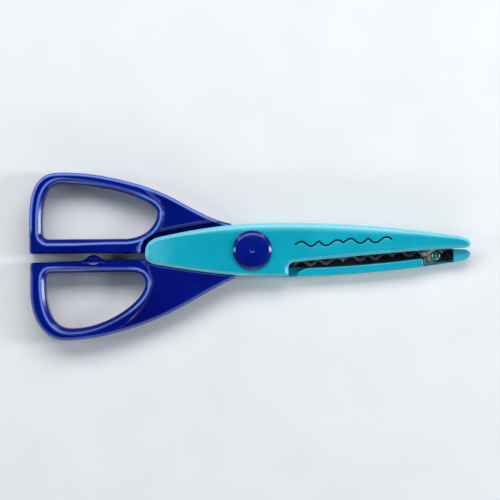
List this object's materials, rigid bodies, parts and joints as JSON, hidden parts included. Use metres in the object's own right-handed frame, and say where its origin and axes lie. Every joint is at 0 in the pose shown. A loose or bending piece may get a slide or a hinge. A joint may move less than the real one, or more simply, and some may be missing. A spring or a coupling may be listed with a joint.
{
  "type": "decorative edge scissors",
  "caption": "Small paper scissors with a wavy cutting edge, blades in slim plastic covers, two closed finger bows and a capped pivot.",
  "frame": {"origin": "on the pivot's axis, at the flat outer face of the bottom cap, which is the surface the closed scissors lie on", "axes": "+X from the pivot to the blade tips, +Y towards the thumb bow, +Z along the pivot's axis, out of the top cap"},
  "size_m": [0.1649, 0.0629, 0.0115],
  "materials": {
    "handle_plastic": "glossy deep blue moulded plastic",
    "cover_plastic": "semi-gloss teal moulded plastic",
    "blade_steel": "ground stainless steel",
    "fastener_steel": "bright plated steel",
    "nylon": "natural nylon"
  },
  "bodies": {
    "lower_half": {"lower_handle": "handle_plastic", "lower_cover": "cover_plastic", "lower_blade": "blade_steel", "lower_front_eyelet": "fastener_steel", "lower_middle_pin": "fastener_steel", "lower_front_tang_pin": "fastener_steel", "lower_rear_tang_pin": "fastener_steel", "pivot_rivet": "blade_steel", "pivot_bushing": "nylon", "lower_washer": "fastener_steel", "upper_washer": "fastener_steel", "spring_washer": "blade_steel", "top_cap": "handle_plastic", "bottom_cap": "handle_plastic"},
    "upper_half": {"upper_handle": "handle_plastic", "upper_cover": "cover_plastic", "upper_blade": "blade_steel", "upper_front_eyelet": "fastener_steel", "upper_middle_pin": "fastener_steel", "upper_front_tang_pin": "fastener_steel", "upper_rear_tang_pin": "fastener_steel"}
  },
  "joints": [
    {"name": "pivot", "type": "hinge", "parent": "lower_half", "child": "upper_half", "pos_m": [0, 0, 0.00545], "axis": [0, 0, 1], "range_deg": [0, 50]}
  ]
}
